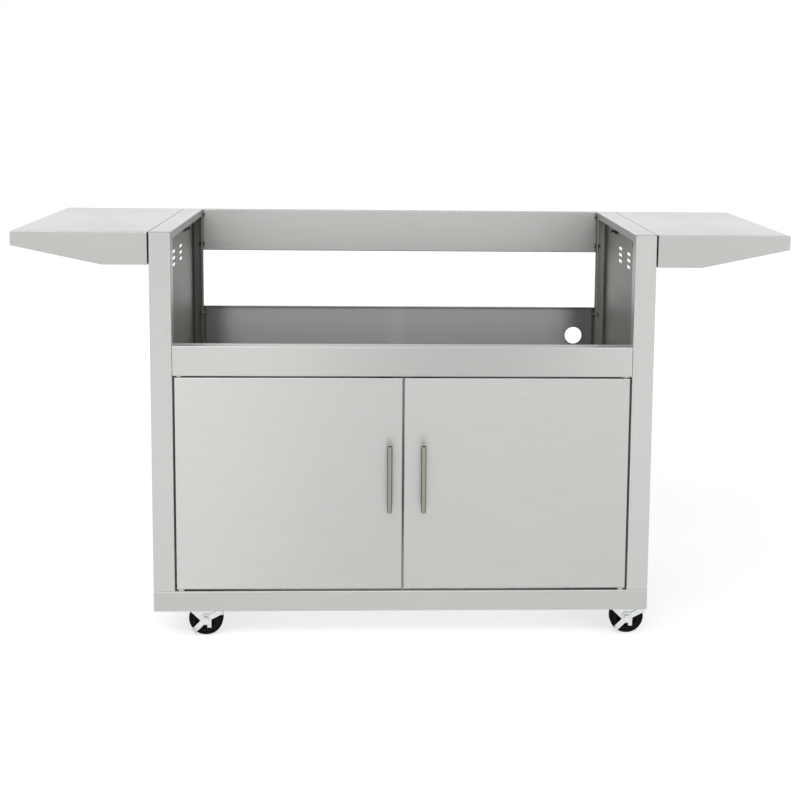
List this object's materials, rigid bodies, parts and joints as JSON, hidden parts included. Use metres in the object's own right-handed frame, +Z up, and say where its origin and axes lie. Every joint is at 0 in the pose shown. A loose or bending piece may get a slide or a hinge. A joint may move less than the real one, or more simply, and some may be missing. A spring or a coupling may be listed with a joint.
{
  "type": "grill cart",
  "caption": "Stainless sheet-metal cart for a built-in grill: open bay with vented sides, cabinet with hinged doors, fixed tapered side shelves, and swivel casters with brakes.",
  "frame": {"origin": "on the floor, under the middle of the whole cart with its handles and shelves", "axes": "+X to the right along both shelves, +Y to the back, +Z up; the doors face -Y"},
  "size_m": [1.674, 0.6754, 0.91],
  "materials": {
    "brushed_sheet": "brushed stainless steel sheet, fine grain along the length of each piece",
    "inner_sheet": "mill-finish stainless steel sheet, duller than the outside",
    "handle_steel": "satin polished stainless steel bar",
    "fastener": "plain stainless steel fasteners",
    "caster_metal": "bright zinc-plated pressed steel",
    "nylon": "natural nylon bush",
    "catch_plastic": "moulded black plastic case round a magnet",
    "wheel_plastic": "moulded black polypropylene",
    "tread_rubber": "black rubber tread"
  },
  "bodies": {
    "cart": {"base_pan": "brushed_sheet", "base_channel_left": "inner_sheet", "base_channel_right": "inner_sheet", "post_front_left": "brushed_sheet", "post_front_right": "brushed_sheet", "post_rear_left": "brushed_sheet", "post_rear_right": "brushed_sheet", "side_panel_left": "inner_sheet", "side_panel_right": "inner_sheet", "side_cap_left": "brushed_sheet", "side_cap_right": "brushed_sheet", "side_rail_left": "inner_sheet", "side_rail_right": "inner_sheet", "front_rail": "brushed_sheet", "back_rail": "brushed_sheet", "back_panel": "brushed_sheet", "shelf_left": "brushed_sheet", "shelf_right": "brushed_sheet", "shelf_bolts": "fastener", "frame_bolts": "fastener", "caster_bolts": "fastener", "hinge_bushes": "nylon", "magnet_catches": "catch_plastic", "swivel_balls": "caster_metal", "plate_front_left": "caster_metal", "plate_front_right": "caster_metal", "plate_rear_left": "caster_metal", "plate_rear_right": "caster_metal"},
    "door_left": {"door_skin_left": "brushed_sheet", "door_liner_left": "inner_sheet", "handle_bar_left": "handle_steel", "handle_posts_left": "handle_steel", "handle_screws_left": "fastener", "hinge_pins_left": "fastener", "strike_left": "fastener"},
    "door_right": {"door_skin_right": "brushed_sheet", "door_liner_right": "inner_sheet", "handle_bar_right": "handle_steel", "handle_posts_right": "handle_steel", "handle_screws_right": "fastener", "hinge_pins_right": "fastener", "strike_right": "fastener"},
    "swivel_front_left": {"fork_front_left": "caster_metal", "axle_front_left": "caster_metal"},
    "wheel_front_left": {"hub_front_left": "wheel_plastic", "tread_front_left": "tread_rubber"},
    "brake_left": {"brake_lever_left": "caster_metal"},
    "swivel_front_right": {"fork_front_right": "caster_metal", "axle_front_right": "caster_metal"},
    "wheel_front_right": {"hub_front_right": "wheel_plastic", "tread_front_right": "tread_rubber"},
    "brake_right": {"brake_lever_right": "caster_metal"},
    "swivel_rear_left": {"fork_rear_left": "caster_metal", "axle_rear_left": "caster_metal"},
    "wheel_rear_left": {"hub_rear_left": "wheel_plastic", "tread_rear_left": "tread_rubber"},
    "swivel_rear_right": {"fork_rear_right": "caster_metal", "axle_rear_right": "caster_metal"},
    "wheel_rear_right": {"hub_rear_right": "wheel_plastic", "tread_rear_right": "tread_rubber"}
  },
  "joints": [
    {"name": "door_left_hinge", "type": "hinge", "parent": "cart", "child": "door_left", "pos_m": [-0.486, -0.29425, 0.358], "axis": [0, 0, -1], "range_deg": [0, 110]},
    {"name": "door_right_hinge", "type": "hinge", "parent": "cart", "child": "door_right", "pos_m": [0.486, -0.29425, 0.358], "axis": [0, 0, 1], "range_deg": [0, 110]},
    {"name": "swivel_front_left_turn", "type": "hinge", "parent": "cart", "child": "swivel_front_left", "pos_m": [-0.4735, -0.24025, 0.097], "axis": [0, 0, 1], "continuous": true},
    {"name": "wheel_front_left_roll", "type": "hinge", "parent": "swivel_front_left", "child": "wheel_front_left", "pos_m": [-0.438, -0.24025, 0.038], "axis": [0, 1, 0], "continuous": true},
    {"name": "brake_left_press", "type": "hinge", "parent": "swivel_front_left", "child": "brake_left", "pos_m": [-0.438, -0.24025, 0.038], "axis": [0, 1, 0], "range_deg": [0, 30]},
    {"name": "swivel_front_right_turn", "type": "hinge", "parent": "cart", "child": "swivel_front_right", "pos_m": [0.4735, -0.24025, 0.097], "axis": [0, 0, 1], "continuous": true},
    {"name": "wheel_front_right_roll", "type": "hinge", "parent": "swivel_front_right", "child": "wheel_front_right", "pos_m": [0.509, -0.24025, 0.038], "axis": [0, 1, 0], "continuous": true},
    {"name": "brake_right_press", "type": "hinge", "parent": "swivel_front_right", "child": "brake_right", "pos_m": [0.509, -0.24025, 0.038], "axis": [0, 1, 0], "range_deg": [0, 30]},
    {"name": "swivel_rear_left_turn", "type": "hinge", "parent": "cart", "child": "swivel_rear_left", "pos_m": [-0.4735, 0.27575, 0.097], "axis": [0, 0, 1], "continuous": true},
    {"name": "wheel_rear_left_roll", "type": "hinge", "parent": "swivel_rear_left", "child": "wheel_rear_left", "pos_m": [-0.438, 0.27575, 0.038], "axis": [0, 1, 0], "continuous": true},
    {"name": "swivel_rear_right_turn", "type": "hinge", "parent": "cart", "child": "swivel_rear_right", "pos_m": [0.4735, 0.27575, 0.097], "axis": [0, 0, 1], "continuous": true},
    {"name": "wheel_rear_right_roll", "type": "hinge", "parent": "swivel_rear_right", "child": "wheel_rear_right", "pos_m": [0.509, 0.27575, 0.038], "axis": [0, 1, 0], "continuous": true}
  ]
}
